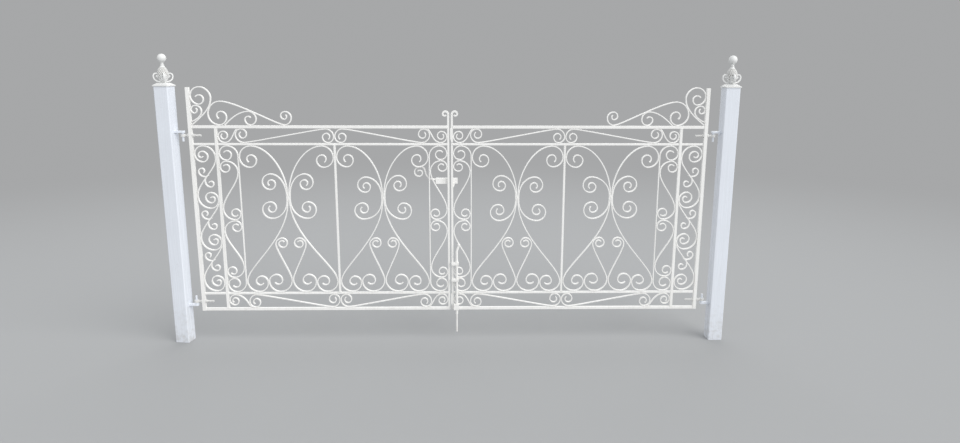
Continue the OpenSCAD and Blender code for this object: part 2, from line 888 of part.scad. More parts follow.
// Latch bolt: a square bar that slides through its case, with a curled handle
module latch_bolt() {
    tip_u = meet_gap / 2 + latch_play;
    tail_u = case_u + latch_case_len + latch_throw + latch_play;
    handle = bar_line(
        [[[tail_u - latch_handle_t, latch_z], 0, 0.5],
            [[tail_u + latch_handle_rise * 0.55, latch_z + latch_handle_rise * 0.72], 76, 0.4],
            [[tail_u + latch_handle_rise * 0.96, latch_z + latch_handle_rise], 0, 0.5]],
        [],
        [-1, latch_handle_curl, LATCH]
    );
    color("white")
        leaf(LEFT) {
            translate([tip_u, latch_y - latch_bar / 2, latch_z - latch_bar / 2])
                cube([tail_u - tip_u, latch_bar, latch_bar]);
            upright(latch_handle_t, latch_y)
                ribbon(handle, latch_handle_t, latch_handle_t * 0.75);
        }
}

module latch_keep() {
    hi = latch_z + latch_cap;
    lo = hi - keep_h;
    step_z = hi - keep_h * 0.6;
    color("white")
        leaf(RIGHT)
            difference() {
                upright(latch_case_d, latch_y)
                    polygon([
                        [case_u, hi], [case_u + keep_w, hi], [case_u + keep_w, step_z],
                        [case_u + keep_w * 0.57, step_z], [case_u + keep_w * 0.4, lo], [case_u, lo]
                    ]);
                latch_slot_cut(case_u - past, keep_w - keep_wall + past);
            }
}

// Drop bolt, on the front of the right leaf

module drop_bolt() {
    color("white")
        leaf(RIGHT)
            translate([drop_u, drop_y, level_z]) {
                translate([0, 0, drop_tip_z])
                    cylinder(h = drop_tip_len, d = drop_tip_d);
                translate([0, 0, drop_tip_z + drop_tip_len - drop_clear])
                    cylinder(h = drop_bend_z - drop_tip_z - drop_tip_len + drop_clear, d = drop_d);
                translate([0, 0, guide_top + guide_h / 2 + kiss])
                    cylinder(h = guide_h * 0.7, d = drop_d + guide_wall * 0.8);
                translate([0, 0, drop_bend_z]) {
                    sphere(d = drop_d);
                    rotate([0, handle_lean, 0]) {
                        cylinder(h = handle_len, d = drop_d * 0.9);
                        translate([0, 0, handle_len])
                            sphere(d = knob_d);
                    }
                }
            }
}

// Guide: a block on the leaf's front with a hole for the drop bolt
module guide(foot, height, back_y, u0) {
    front_y = drop_y - drop_d / 2 - guide_wall;
    difference() {
        translate([u0, front_y, foot])
            cube([drop_u + drop_d / 2 + guide_wall - u0, back_y - front_y, height]);
        translate([drop_u, drop_y, foot - past])
            cylinder(h = height + 2 * past, d = drop_d + latch_play);
    }
}

module drop_bolt_guides() {
    color("white")
        leaf(RIGHT) {
            guide(level_z + guide_top - guide_h / 2, guide_h, -meet_w / 2, meet_gap / 2);
            guide(level_z + guide_mid - guide_h / 2, guide_h, -meet_w / 2, meet_gap / 2);
            guide(bottom_z - rail_w / 4, guide_low_h, -rail_w / 2, meet_out + kiss);
        }
}

// The pieces by name

post(LEFT);  // left_post
post(RIGHT);  // right_post
finial(LEFT);  // left_finial
finial(RIGHT);  // right_finial
gudgeon(LEFT, top_eye_z, -1);  // left_top_gudgeon
gudgeon(LEFT, bottom_eye_z, 1);  // left_bottom_gudgeon
gudgeon(RIGHT, top_eye_z, -1);  // right_top_gudgeon
gudgeon(RIGHT, bottom_eye_z, 1);  // right_bottom_gudgeon

hanging_stile(LEFT);  // left_hanging_stile
meeting_stile(LEFT);  // left_meeting_stile
band_rails(LEFT, upper_z, top_z);  // left_top_rails
band_rails(LEFT, lower_z, bottom_z);  // left_bottom_rails
square_bar(LEFT);  // left_square_bar
middle_bar(LEFT);  // left_middle_bar
crest_scrolls(LEFT);  // left_crest_scrolls
top_band_scrolls(LEFT);  // left_top_band_scrolls
bottom_band_scrolls(LEFT);  // left_bottom_band_scrolls
hinge_panel_scrolls(LEFT);  // left_hinge_panel_scrolls
side_panel_scrolls(LEFT);  // left_side_panel_scrolls
outer_bay_scrolls(LEFT);  // left_outer_bay_scrolls
inner_bay_scrolls(LEFT);  // left_inner_bay_scrolls
meeting_panel_scrolls(LEFT);  // left_meeting_panel_scrolls
eye_bolt(LEFT, top_eye_z);  // left_top_eye_bolt
eye_bolt(LEFT, bottom_eye_z);  // left_bottom_eye_bolt

hanging_stile(RIGHT);  // right_hanging_stile
meeting_stile(RIGHT);  // right_meeting_stile
band_rails(RIGHT, upper_z, top_z);  // right_top_rails
band_rails(RIGHT, lower_z, bottom_z);  // right_bottom_rails
square_bar(RIGHT);  // right_square_bar
middle_bar(RIGHT);  // right_middle_bar
crest_scrolls(RIGHT);  // right_crest_scrolls
top_band_scrolls(RIGHT);  // right_top_band_scrolls
bottom_band_scrolls(RIGHT);  // right_bottom_band_scrolls
hinge_panel_scrolls(RIGHT);  // right_hinge_panel_scrolls
side_panel_scrolls(RIGHT);  // right_side_panel_scrolls
outer_bay_scrolls(RIGHT);  // right_outer_bay_scrolls
inner_bay_scrolls(RIGHT);  // right_inner_bay_scrolls
meeting_panel_scrolls(RIGHT);  // right_meeting_panel_scrolls
eye_bolt(RIGHT, top_eye_z);  // right_top_eye_bolt
eye_bolt(RIGHT, bottom_eye_z);  // right_bottom_eye_bolt

latch_case();
latch_bolt();
latch_keep();
drop_bolt();
drop_bolt_guides();
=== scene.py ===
"""Dresses a packed pair of wrought iron driveway gates and sets it on a plain studio floor.

Everything is in metres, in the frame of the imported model: X along the gateway, Y from the gates'
front to their back, Z up, from the middle of the left post's foot.
"""

import math
from collections import defaultdict

import bpy
import numpy as np
from mathutils import Matrix, Vector, kdtree, noise


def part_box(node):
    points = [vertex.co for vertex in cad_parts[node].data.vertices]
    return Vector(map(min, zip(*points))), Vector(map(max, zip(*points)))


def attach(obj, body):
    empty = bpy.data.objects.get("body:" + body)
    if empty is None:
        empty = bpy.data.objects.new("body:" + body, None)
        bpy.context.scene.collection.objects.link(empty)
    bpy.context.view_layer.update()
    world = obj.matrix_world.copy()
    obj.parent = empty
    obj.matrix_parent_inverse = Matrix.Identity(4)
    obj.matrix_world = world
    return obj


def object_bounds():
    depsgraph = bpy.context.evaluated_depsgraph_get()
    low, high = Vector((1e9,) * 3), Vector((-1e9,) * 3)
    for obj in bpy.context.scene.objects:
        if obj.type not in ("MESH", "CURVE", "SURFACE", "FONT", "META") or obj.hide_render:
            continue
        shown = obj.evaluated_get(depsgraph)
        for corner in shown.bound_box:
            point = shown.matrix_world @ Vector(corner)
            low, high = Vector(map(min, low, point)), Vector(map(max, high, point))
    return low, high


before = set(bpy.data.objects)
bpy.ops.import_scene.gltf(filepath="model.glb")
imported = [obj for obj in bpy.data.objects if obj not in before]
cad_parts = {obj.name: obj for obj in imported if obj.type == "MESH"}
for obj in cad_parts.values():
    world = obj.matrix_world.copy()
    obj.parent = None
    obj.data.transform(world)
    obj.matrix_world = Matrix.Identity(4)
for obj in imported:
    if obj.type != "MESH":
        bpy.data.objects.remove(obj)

bl_info = {
    "name": "Driveway gate dressing",
    "version": (1, 0, 0),
    "blender": (4, 5, 0),
    "location": "3D view > Sidebar > Gate",
    "description": "Adds paint, welds, threads, cast relief and a studio to the gate's frame",
    "category": "Object",
}

CAD_BOX = [list(corner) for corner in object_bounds()]

POSTS = ["left_post", "right_post"]
FINIALS = ["left_finial", "right_finial"]
HINGES = ["left_top", "left_bottom", "right_top", "right_bottom"]
GUDGEONS = [hinge + "_gudgeon" for hinge in HINGES]
EYE_BOLTS = [hinge + "_eye_bolt" for hinge in HINGES]
LEAVES = {"left": "left_leaf", "right": "right_leaf"}
LATCH_SIDES = {"latch_case": "left", "latch_keep": "right"}
# Nodes of a leaf that are flat or square bars welded to each other
BARS = [
    "hanging_stile", "meeting_stile", "top_rails", "bottom_rails", "square_bar", "middle_bar",
    "crest_scrolls", "top_band_scrolls", "bottom_band_scrolls", "hinge_panel_scrolls",
    "side_panel_scrolls", "outer_bay_scrolls", "inner_bay_scrolls", "meeting_panel_scrolls",
]
X_AXIS, Y_AXIS, Z_AXIS = Vector((1, 0, 0)), Vector((0, 1, 0)), Vector((0, 0, 1))

# Sizes of the frame that its boxes don't give
LEFT_POST_TURN = math.radians(8)
FINIAL_TURN = {"left_finial": math.radians(28), "right_finial": 0.0}
POST_HALF = 0.0425
ARM_HEIGHT = 0.012
ARM_HALF_WIDTH = 0.013
NUT_HEIGHT = 0.009
SHANK_RADIUS = 0.006
BODY_FOOT_TO_BALL_TOP = 0.1618


# Settings

def colour_property(name, description, default):
    return bpy.props.FloatVectorProperty(
        name=name, description=description, default=default, subtype="COLOR", size=3, min=0, max=1
    )


def length_property(name, description, default, low, high):
    return bpy.props.FloatProperty(
        name=name, description=description, default=default, min=low, max=high,
        precision=5, subtype="DISTANCE", unit="LENGTH"
    )


def share_property(name, description, default):
    return bpy.props.FloatProperty(
        name=name, description=description, default=default, min=0, max=1, subtype="FACTOR"
    )


def strength_property(name, description, default):
    return bpy.props.FloatProperty(
        name=name, description=description, default=default, min=0, max=10
    )


class GatePaintSettings(bpy.types.PropertyGroup):
    """Colours and gloss of the paints."""

    gate_colour: colour_property("Gate", "Paint of the leaves", (0.91, 0.905, 0.89))
    # A cooler white paint than the leaves', whose blue tint also stands in for the sky's reflection
    # on the posts
    post_and_sky_tint_colour: colour_property("Posts", "Paint of the posts and gudgeons", (0.78, 0.815, 0.88))
    finial_colour: colour_property("Finials", "Paint of the caps and finials", (0.80, 0.805, 0.80))
    worn_colour: colour_property("Eye bolts", "Thin paint of the eye bolts", (0.74, 0.74, 0.73))
    # The grime's colour is also used, darkened, for the painted shade in the finials' relief
    # hollows
    grime_and_shade_colour: colour_property("Grime", "Dust and splashed dirt", (0.30, 0.27, 0.21))
    rust_colour: colour_property("Rust", "Rust at chips and welds", (0.22, 0.085, 0.03))
    bled_colour: colour_property("Bled rust", "Stain that has run from rust", (0.46, 0.25, 0.10))
    gloss: share_property("Roughness", "Roughness of the gate's paint", 0.32)
    grime_top: length_property("Grime height", "Height that splashes reach", 0.42, 0.1, 1.5)
    chips: share_property("Chips", "How much of the edges has chipped", 0.22)


class GateDetailSettings(bpy.types.PropertyGroup):
    """Sizes of the worked details."""

    edge_round: length_property("Bar arris", "Rounding of the bars' edges", 0.0008, 0.0002, 0.0015)
    cast_round: length_property("Casting arris", "Rounding of the castings", 0.0013, 0.0003, 0.003)
    bead_radius: length_property("Weld bead", "Radius of a weld bead", 0.0027, 0.001, 0.005)
    thread_pitch: length_property("Thread pitch", "Pitch of the threads", 0.00175, 0.001, 0.003)
    thread_height: length_property("Thread height", "Height of a thread", 0.0005, 0.0002, 0.001)
    relief: length_property("Relief", "Height of the finials' cast relief", 0.0024, 0.0005, 0.003)


class GateStageSettings(bpy.types.PropertyGroup):
    """Floor, light and background."""

    floor_colour: colour_property("Floor", "Colour of the floor", (0.37, 0.375, 0.38))
    back_colour: colour_property("Background", "Colour of the background", (0.385, 0.39, 0.395))
    sky_light: strength_property("Sky", "Strength of the even light from all round", 0.84)
    key_light: strength_property("Key lamp", "Strength of the broad lamp at the upper right", 2.0)
    back_light: strength_property("Back lamp", "Strength of the lamp behind the gate", 0.85)
    floor_size: length_property("Floor size", "Side of the floor", 60.0, 10, 200)


# Shader nodes

def blank_tree(owner):
    """Empties the nodes of a material or a world, and gives a function that adds a node there."""
    owner.use_nodes = True
    owner.node_tree.nodes.clear()
    return lambda kind, **values: add_node(owner.node_tree, kind, **values)


def start_material(name):
    """A new material with only a Principled shader, and a function that adds a node to it."""
    material = bpy.data.materials.new(name)
    add = blank_tree(material)
    shader = add("ShaderNodeBsdfPrincipled")
    add("ShaderNodeOutputMaterial", in_surface=shader.outputs["BSDF"])
    return material, shader, add


def add_node(tree, kind, **values):
    """Adds a node. A value whose name is in_ and the name or number of an input goes there, and
    any other is set on the node itself."""
    node = tree.nodes.new(kind)
    for key, value in values.items():
        if not key.startswith("in_"):
            setattr(node, key, value)
    for key, value in values.items():
        if key.startswith("in_"):
            feed(tree, node.inputs[input_index(node, key.removeprefix("in_"))], value)
    return node


def input_index(node, key):
    """Index of an enabled input by its number or its name, with underscores for spaces."""
    if key.isdigit():
        return int(key)
    for index, socket in enumerate(node.inputs):
        if socket.enabled and socket.name.replace(" ", "_").lower() == key:
            return index
    raise KeyError(f"{node.bl_idname} has no input {key}")


def feed(tree, socket, value):
    """Links a socket to another one, or sets its value. A colour gets its fourth number here."""
    if isinstance(value, bpy.types.NodeSocket):
        tree.links.new(value, socket)
    elif hasattr(value, "__len__") and len(value) == 3 and socket.type == "RGBA":
        socket.default_value = (*value, 1)
    else:
        socket.default_value = value


def noise_of(add, place, scale, detail=2.0, stretch=None):
    """Noise from 0 to 1 at the given scale, per metre, stretched along the axes where asked."""
    if stretch:
        place = add("ShaderNodeMapping", in_vector=place, in_scale=stretch).outputs[0]
    return add("ShaderNodeTexNoise", in_vector=place, in_scale=scale, in_detail=detail).outputs[0]


def span(add, value, low, high, to_low=0.0, to_high=1.0):
    """Maps low..high to to_low..to_high, held at the ends."""
    return add(
        "ShaderNodeMapRange", in_value=value, in_from_min=low, in_from_max=high,
        in_to_min=to_low, in_to_max=to_high
    ).outputs[0]


def times(add, a, b):
    return add("ShaderNodeMath", operation="MULTIPLY", in_0=a, in_1=b).outputs[0]


def larger(add, a, b):
    return add("ShaderNodeMath", operation="MAXIMUM", in_0=a, in_1=b).outputs[0]


def blend_colour(add, factor, a, b):
    return add("ShaderNodeMix", data_type="RGBA", in_0=factor, in_6=a, in_7=b).outputs[2]


def bump(add, height, strength, distance, **more):
    return add(
        "ShaderNodeBump", in_height=height, in_strength=strength, in_distance=distance, **more
    ).outputs[0]


def darker(colour, share):
    return tuple(c * share for c in colour)


# Paints

# Scale of the brush marks along each axis, per metre
BAR_BRUSH = (150, 150, 28)
WELD_BRUSH = (200, 200, 200)
POST_BRUSH = (160, 160, 5)
CAST_BRUSH = (220, 220, 220)
BOLT_BRUSH = (300, 160, 160)


def laid_tone(add, place, colour, marks, streaky):
    """The paint's own colour, a little clouded and darker in the brush marks."""
    cloud = span(add, noise_of(add, place, scale=5.0, detail=4.0), 0.35, 0.7)
    tone = blend_colour(add, cloud, colour, darker(colour, 0.965))
    strokes = span(add, marks, 0.5, 0.8, to_high=0.25 * streaky)
    return blend_colour(add, strokes, tone, darker(colour, 0.88))


def dust_share(add, place, grime_top, streaky):
    """How dusty a place is: in streaks that rain has left, and where splashes reach low down."""
    height = add("ShaderNodeSeparateXYZ", in_vector=place).outputs[2]
    rain = noise_of(add, place, scale=1.0, detail=3.0, stretch=(95, 95, 3.2))
    settled = span(add, height, 1.7, 0.1, to_low=0.04 * streaky, to_high=0.18 * streaky)
    streaks = times(add, span(add, rain, 0.42, 0.75), settled)
    spots = noise_of(add, place, scale=38.0, detail=7.0)
    splash = span(add, spots, 0.44, 0.72, to_low=0.1, to_high=0.42)
    low_down = span(add, height, grime_top, 0.03)
    return larger(add, streaks, times(add, splash, times(add, low_down, low_down)))


def chip_shares(add, place, chips):
    """Chips, as small spots in a few patches, and how much rust has bled below them."""
    patches = span(add, noise_of(add, place, scale=11.0), 0.56 - 0.12 * chips, 0.66)
    spots = noise_of(add, place, scale=420.0)
    chipped = times(add, patches, span(add, spots, 0.70 - 0.12 * chips, 0.735 - 0.1 * chips))
    runs_down = noise_of(add, place, scale=1.0, stretch=(260, 260, 36))
    bled = times(add, patches, span(add, runs_down, 0.60, 0.80, to_high=0.45))
    return chipped, times(add, bled, chips)


def paint(name, colour, roughness, chips, grime_top, brushed, streaky=1.0):
    """Hand-laid gloss paint with brush marks, dust, splashes, painted shade in the relief's
    hollows, chips and rust.

    Chips is how much has chipped, grime_top the height that splashes reach, brushed the scale of
    the brush marks, and streaky how plainly marks and streaks show."""
    settings = bpy.context.scene.gate_paint
    material, shader, add = start_material(name)
    place = add("ShaderNodeTexCoord").outputs["Object"]
    marks = noise_of(add, place, scale=1.0, detail=3.0, stretch=brushed)
    dust = dust_share(add, place, grime_top, streaky)
    # Painted shade in the hollows of the finials' relief, laid on below in a darkened grime colour
    hollow_shade = times(add, add("ShaderNodeAttribute", attribute_name="dirt").outputs["Fac"], 0.7)
    chipped, bled = chip_shares(add, place, chips)

    tone = laid_tone(add, place, colour, marks, streaky)
    tone = blend_colour(add, dust, tone, settings.grime_and_shade_colour)
    # Painted shade in the relief's hollows
    tone = blend_colour(add, hollow_shade, tone, darker(settings.grime_and_shade_colour, 0.6))
    tone = blend_colour(add, bled, tone, settings.bled_colour)
    tone = blend_colour(add, chipped, tone, settings.rust_colour)
    feed(material.node_tree, shader.inputs["Base Color"], tone)

    laid = span(add, marks, 0.3, 0.8, to_low=roughness - 0.05, to_high=roughness + 0.08)
    worn = larger(add, times(add, chipped, 0.85), times(add, dust, 0.9))
    feed(material.node_tree, shader.inputs["Roughness"], larger(add, laid, worn))
    shader.inputs["Coat Weight"].default_value = 0.1
    shader.inputs["Coat Roughness"].default_value = 0.2

    brush = bump(add, marks, strength=0.35, distance=0.0006)
    fine = noise_of(add, place, scale=900.0)
    skin = bump(add, fine, strength=0.25, distance=0.00015, in_normal=brush)
    pits = bump(add, chipped, strength=0.6, distance=0.0003, in_normal=skin, invert=True)
    feed(material.node_tree, shader.inputs["Normal"], pits)
    return material


def material_named(name):
    """One of the dressing's paints, made on first use. The frame has materials of its own, so
    these have a prefix."""
    full_name = "dressed_" + name
    found = bpy.data.materials.get(full_name)
    if found:
        return found
    settings = bpy.context.scene.gate_paint
    gloss, chips, top = settings.gloss, settings.chips, settings.grime_top
    recipes = {
        "leaf_paint": (settings.gate_colour, gloss, 0.15, top, BAR_BRUSH),
        "leaf_edge_paint": (settings.gate_colour, gloss, chips, top, BAR_BRUSH),
        "weld_paint": (settings.gate_colour, gloss, chips * 1.6, top, WELD_BRUSH),
        "post_paint": (settings.post_and_sky_tint_colour, gloss - 0.06, 0.05, top, POST_BRUSH, 0.4),
        "post_edge_paint": (settings.post_and_sky_tint_colour, gloss, chips, top, POST_BRUSH, 0.4),
        "finial_paint": (settings.finial_colour, gloss + 0.16, 0.0, 0.1, CAST_BRUSH),
        "bolt_paint": (settings.worn_colour, 0.5, chips * 1.5, top, BOLT_BRUSH),
    }
    return paint(full_name, *recipes[name])


# Meshes

def ring(centre, across, up, width, height, count, way=1):
    """Points round an ellipse, given its centre, its two unit axes and its half sizes on them."""
    turns = (way * 2 * math.pi * k / count for k in range(count))
    return [centre + across * (width * math.cos(a)) + up * (height * math.sin(a)) for a in turns]


class Build:
    """Gathers vertices and faces of many small forms into one mesh. Each vertex also gets a share
    of painted shade, which the paint lays on in a darkened grime colour."""

    def __init__(self):
        self.vertices = []
        self.faces = []
        self.dirt = []

    def rings(self, rings, closed_ends=True, dirt=None):
        """Joins rings of equal length, each a list of points, into a skin."""
        base = len(self.vertices)
        count = len(rings[0])
        for points in rings:
            self.vertices.extend(points)
        self.dirt.extend(dirt or [0.0] * count * len(rings))
        for i in range(len(rings) - 1):
            for j in range(count):
                k = (j + 1) % count
                a, b = base + i * count, base + (i + 1) * count
                self.faces.append((a + j, a + k, b + k, b + j))
        if closed_ends:
            self.faces.append(tuple(base + j for j in reversed(range(count))))
            last = base + (len(rings) - 1) * count
            self.faces.append(tuple(last + j for j in range(count)))

    def bead(self, centre, along, out, length, radius, seed):
        """A lumpy weld bead that lies along a seam and stands half out of it."""
        step, ripple_pitch, sides = 0.0012, 0.0026, 8
        blunt = 0.985
        flatten = 0.82
        along = along.normalized()
        out = out.normalized()
        side = along.cross(out).normalized()
        steps = max(6, int(length / step))
        ripples = max(1.5, length / ripple_pitch)
        rings = []
        for i in range(steps + 1):
            s = max(-blunt, min(blunt, -1 + 2 * i / steps))
            swell = math.sqrt(1 - s * s) ** 0.7
            ripple = 1 + 0.13 * math.sin(ripples * math.pi * (s + 1) + seed)
            middle = centre + along * (s * length / 2)
            points = []
            for j in range(sides):
                a = 2 * math.pi * j / sides
                place = centre * 900 + Vector((s * 2.1 + seed, math.cos(a), math.sin(a)))
                r = radius * swell * ripple * (1 + 0.22 * noise.noise(place))
                points.append(middle + side * (r * math.cos(a)) + out * (flatten * r * math.sin(a)))
            rings.append(points)
        self.rings(rings)

    def piece(self, name, body, material):
        """Makes a smooth-shaded object of all that was gathered, and it rides on the body."""
        mesh = bpy.data.meshes.new(name)
        mesh.from_pydata([tuple(v) for v in self.vertices], [], self.faces)
        # Each vertex's share of painted shade, which the paint reads to darken it
        mesh.attributes.new("dirt", "FLOAT", "POINT").data.foreach_set("value", self.dirt)
        mesh.validate()
        mesh.update()
        mesh.polygons.foreach_set("use_smooth", [True] * len(mesh.polygons))
        mesh.materials.append(material_named(material))
        obj = bpy.data.objects.new(name, mesh)
        bpy.context.scene.collection.objects.link(obj)
        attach(obj, body)


# Where bars touch

SAMPLE_STEP = 0.002
# Samples on two outlines touch when they face each other, lie near and have hardly a gap
SEARCH = 0.0014
FACING = -0.85
TOUCHING = 0.00045
# Touching samples within this reach belong to one run
RUN_REACH = 0.0042
# How sharply two bars have to part for a bead in the notch
PARTING = 0.6


def outline_segments(node):
    """Front edges of a node's side faces: start, end and outward normal in X and Z, and the half
    depth of the bar there."""
    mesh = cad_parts[node].data
    places = np.empty(len(mesh.vertices) * 3)
    mesh.vertices.foreach_get("co", places)
    mesh.calc_loop_triangles()
    triangles = np.empty(len(mesh.loop_triangles) * 3, np.int32)
    mesh.loop_triangles.foreach_get("vertices", triangles)
    corner = places.reshape(-1, 3)[triangles.reshape(-1, 3)]
    normal = np.cross(corner[:, 1] - corner[:, 0], corner[:, 2] - corner[:, 0])
    size = np.linalg.norm(normal, axis=1)
    has_area = size > 1e-12
    corner, normal = corner[has_area], normal[has_area] / size[has_area, None]
    upright = np.abs(normal[:, 1]) < 0.02
    corner, normal = corner[upright], normal[upright]
    starts, ends, normals, depths = [], [], [], []
    for a, b in ((0, 1), (1, 2), (2, 0)):
        p, q = corner[:, a], corner[:, b]
        front = (np.abs(p[:, 1] - q[:, 1]) < 1e-6) & (p[:, 1] < -1e-4)
        front &= np.linalg.norm(p - q, axis=1) > 1e-5
        starts.append(p[front][:, [0, 2]])
        ends.append(q[front][:, [0, 2]])
        normals.append(normal[front][:, [0, 2]])
        depths.append(-p[front][:, 1])
    return [np.concatenate(parts) for parts in (starts, ends, normals, depths)]


def leaf_samples(side):
    """Points about a step apart along the outlines of all of a leaf's bars, and the notches."""
    points, normals, depths, corners = [], [], [], []
    for name in BARS:
        start, end, normal, depth = outline_segments(side + "_" + name)
        length = np.linalg.norm(end - start, axis=1)
        for i in range(len(start)):
            count = max(1, int(math.ceil(length[i] / SAMPLE_STEP)))
            t = (np.arange(count) + 0.5) / count
            points.append(start[i] + (end[i] - start[i]) * t[:, None])
            normals.append(np.repeat(normal[i][None], count, 0))
            depths.append(np.repeat(depth[i], count))
        corners += notches(start, end, normal, depth)
    return np.concatenate(points), np.concatenate(normals), np.concatenate(depths), corners


def notches(start, end, normal, depth):
    """Inner corners of one node's outline, where fused bars part: point, direction and depth."""
    at = defaultdict(list)
    for i in range(len(start)):
        for here, there in ((start[i], end[i]), (end[i], start[i])):
            at[tuple(np.round(here, 5))].append((i, (there - here) / np.linalg.norm(there - here)))
    found = []
    for key, meet in at.items():
        for i, way in meet:
            for j, other in meet:
                if i < j and normal[i] @ other > PARTING and normal[j] @ way > PARTING:
                    half = way + other
                    size = np.linalg.norm(half)
                    if size > 1e-3:
                        found.append((np.array(key), half / size, depth[i]))
    return found


def plane_tree(points):
    """A search tree of points in X and Z."""
    tree = kdtree.KDTree(len(points))
    for i, p in enumerate(points):
        tree.insert((p[0], p[1], 0), i)
    tree.balance()
    return tree


def contacts(points, normals, depths):
    """Where two outlines run against each other: runs of middle points, with the lesser depth."""
    tree = plane_tree(points)
    middles = {}
    for i, p in enumerate(points):
        for _, j, _ in tree.find_range((p[0], p[1], 0), SEARCH):
            if j <= i or normals[i] @ normals[j] > FACING:
                continue
            gap = points[j] - p
            if abs(gap @ normals[i]) < TOUCHING:
                middle = (points[j] + p) / 2
                middles[tuple(np.round(middle, 4))] = (middle, min(depths[i], depths[j]))
    values = list(middles.values())
    return runs(np.array([v[0] for v in values]), np.array([v[1] for v in values]))


def runs(points, depths):
    """Groups of points that lie within reach of each other, each with its least depth."""
    tree = plane_tree(points)
    unseen = set(range(len(points)))
    groups = []
    while unseen:
        todo = [unseen.pop()]
        members = []
        while todo:
            i = todo.pop()
            members.append(i)
            for _, j, _ in tree.find_range((points[i][0], points[i][1], 0), RUN_REACH):
                if j in unseen:
                    unseen.remove(j)
                    todo.append(j)
        groups.append((points[members], float(depths[members].min())))
    return sorted(groups, key=lambda g: tuple(g[0].mean(0)))


# Welds

# A run longer than this gets two beads, each this share of it from its middle
LONG_RUN = 0.03
BEAD_SHIFT = 0.36
BEAD_JOG = 0.0008
LONGEST_SEAM = 0.016
BEAD_OVERRUN = 0.004
NOTCH_BEAD = 0.008
NOTCH_SHIFT = 0.001
NOTCH_SINK = 0.0006
DRIPS = 70
DRIP_LENGTHS = (0.003, 0.0052)
DRIP_RADII = (0.0008, 0.0013)
SEEDS = {"left": 11, "right": 12}


def from_plane(point, y):
    """A point or direction that is given in X and Z, at a depth in Y."""
    return Vector((point[0], y, point[1]))


def weld_leaf(side):
    """Weld beads on both faces wherever a leaf's bars touch, and drips where paint has run."""
    bead_radius = bpy.context.scene.gate_detail.bead_radius
    rng = np.random.default_rng(SEEDS[side])
    points, normals, depths, corners = leaf_samples(side)
    welds = Build()
    for members, depth in contacts(points, normals, depths):
        centre = members.mean(0)
        spread = members - centre
        axes = np.linalg.svd(spread, full_matrices=False)[2] if len(members) > 1 else np.eye(2)
        along = axes[0]
        reach = np.ptp(spread @ along)
        shifts = [0.0] if reach < LONG_RUN else [-reach * BEAD_SHIFT, reach * BEAD_SHIFT]
        for shift in shifts:
            length = min(reach, LONGEST_SEAM) * rng.uniform(0.85, 1.05) + BEAD_OVERRUN
            for face in (-1, 1):
                spot = centre + along * shift + along * rng.uniform(-BEAD_JOG, BEAD_JOG)
                welds.bead(
                    from_plane(spot, face * depth), from_plane(along, 0), face * Y_AXIS,
                    length, bead_radius * rng.uniform(0.72, 1.0), rng.uniform(0, 6)
                )
    for corner, way, depth in corners:
        for face in (-1, 1):
            welds.bead(
                from_plane(corner + way * NOTCH_SHIFT, face * (depth - NOTCH_SINK)),
                from_plane(way, 0), face * Y_AXIS,
                NOTCH_BEAD, bead_radius * 0.7, rng.uniform(0, 6)
            )
    welds.piece(side + "_leaf_welds", LEAVES[side], "weld_paint")

    drips = Build()
    undersides = np.flatnonzero(normals[:, 1] < -0.97)
    for i in rng.choice(undersides, size=DRIPS, replace=False):
        y = rng.uniform(-0.7, 0.7) * depths[i]
        drips.bead(
            from_plane(points[i], y) + 0.0002 * Z_AXIS, Z_AXIS, Y_AXIS,
            rng.uniform(*DRIP_LENGTHS), rng.uniform(*DRIP_RADII), rng.uniform(0, 6)
        )
    drips.piece(side + "_leaf_drips", LEAVES[side], "leaf_paint")


def weld_gudgeons():
    """A run of weld round the end of each gudgeon's arm, where it meets its post."""
    bead_radius = bpy.context.scene.gate_detail.bead_radius
    stand_off = 0.0008
    welds = Build()
    for index, node in enumerate(GUDGEONS):
        way, post, turn = 1, "left_post", LEFT_POST_TURN
        if node.startswith("right"):
            way, post, turn = -1, "right_post", 0.0
        low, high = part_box(node)
        arm_low = high.z - ARM_HEIGHT if "top" in node else low.z
        post_low, post_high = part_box(post)
        post_x = (post_low.x + post_high.x) / 2
        ends = []
        for y in (-ARM_HALF_WIDTH, ARM_HALF_WIDTH):
            reach = (POST_HALF + y * math.sin(turn)) / math.cos(turn)
            ends.append(Vector((post_x + way * (reach + stand_off), y, 0)))
        outward = way * X_AXIS
        along = (ends[1] - ends[0]).normalized()
        for z, up in ((arm_low, -1), (arm_low + ARM_HEIGHT, 1)):
            welds.bead(
                (ends[0] + ends[1]) / 2 + z * Z_AXIS, along, up * Z_AXIS + outward,
                2 * ARM_HALF_WIDTH + 0.001, bead_radius * 1.15, index + up
            )
        for end, sign in zip(ends, (-1, 1)):
            welds.bead(
                end + (arm_low + ARM_HEIGHT / 2) * Z_AXIS, Z_AXIS, sign * Y_AXIS + outward,
                ARM_HEIGHT + 0.002, bead_radius * 1.1, index + 2.5 * sign
            )
    welds.piece("gudgeon_welds", "posts", "post_edge_paint")


def weld_latch(node, side):
    """Two short beads that hold the latch's case or keep to the back of its meeting stile."""
    low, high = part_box(node)
    inset = 0.0045
    x = high.x - inset if side == "left" else low.x + inset
    welds = Build()
    for index, (z, up) in enumerate(((low.z, -1), (high.z, 1))):
        welds.bead(
            Vector((x, low.y + 0.0004, z)), X_AXIS, Y_AXIS + up * Z_AXIS,
            0.010, bpy.context.scene.gate_detail.bead_radius, index * 1.7
        )
    welds.piece(node + "_welds", LEAVES[side], "weld_paint")


# Bolts and screws

# Section of a thread: place along the shank in pitches, and height in heights of the thread
THREAD_PROFILE = [(-0.42, -0.15), (-0.16, 0.8), (0.0, 1.0), (0.16, 0.8), (0.42, -0.15)]
# Outlines of a washer and of a screw's head: distance out and radius
WASHER_PROFILE = [
    (0, 0.0122), (0.0009, 0.0128), (0.0016, 0.0126), (0.0019, 0.0118), (0.0019, 0.0085),
]
SCREW_PROFILE = [
    (-0.0004, 0.0034), (0.0003, 0.0034), (0.0010, 0.0031), (0.0016, 0.0023), (0.0019, 0.0011),
]
# Thread that shows between the outer nut and the eye
OUTER_THREAD = 0.008


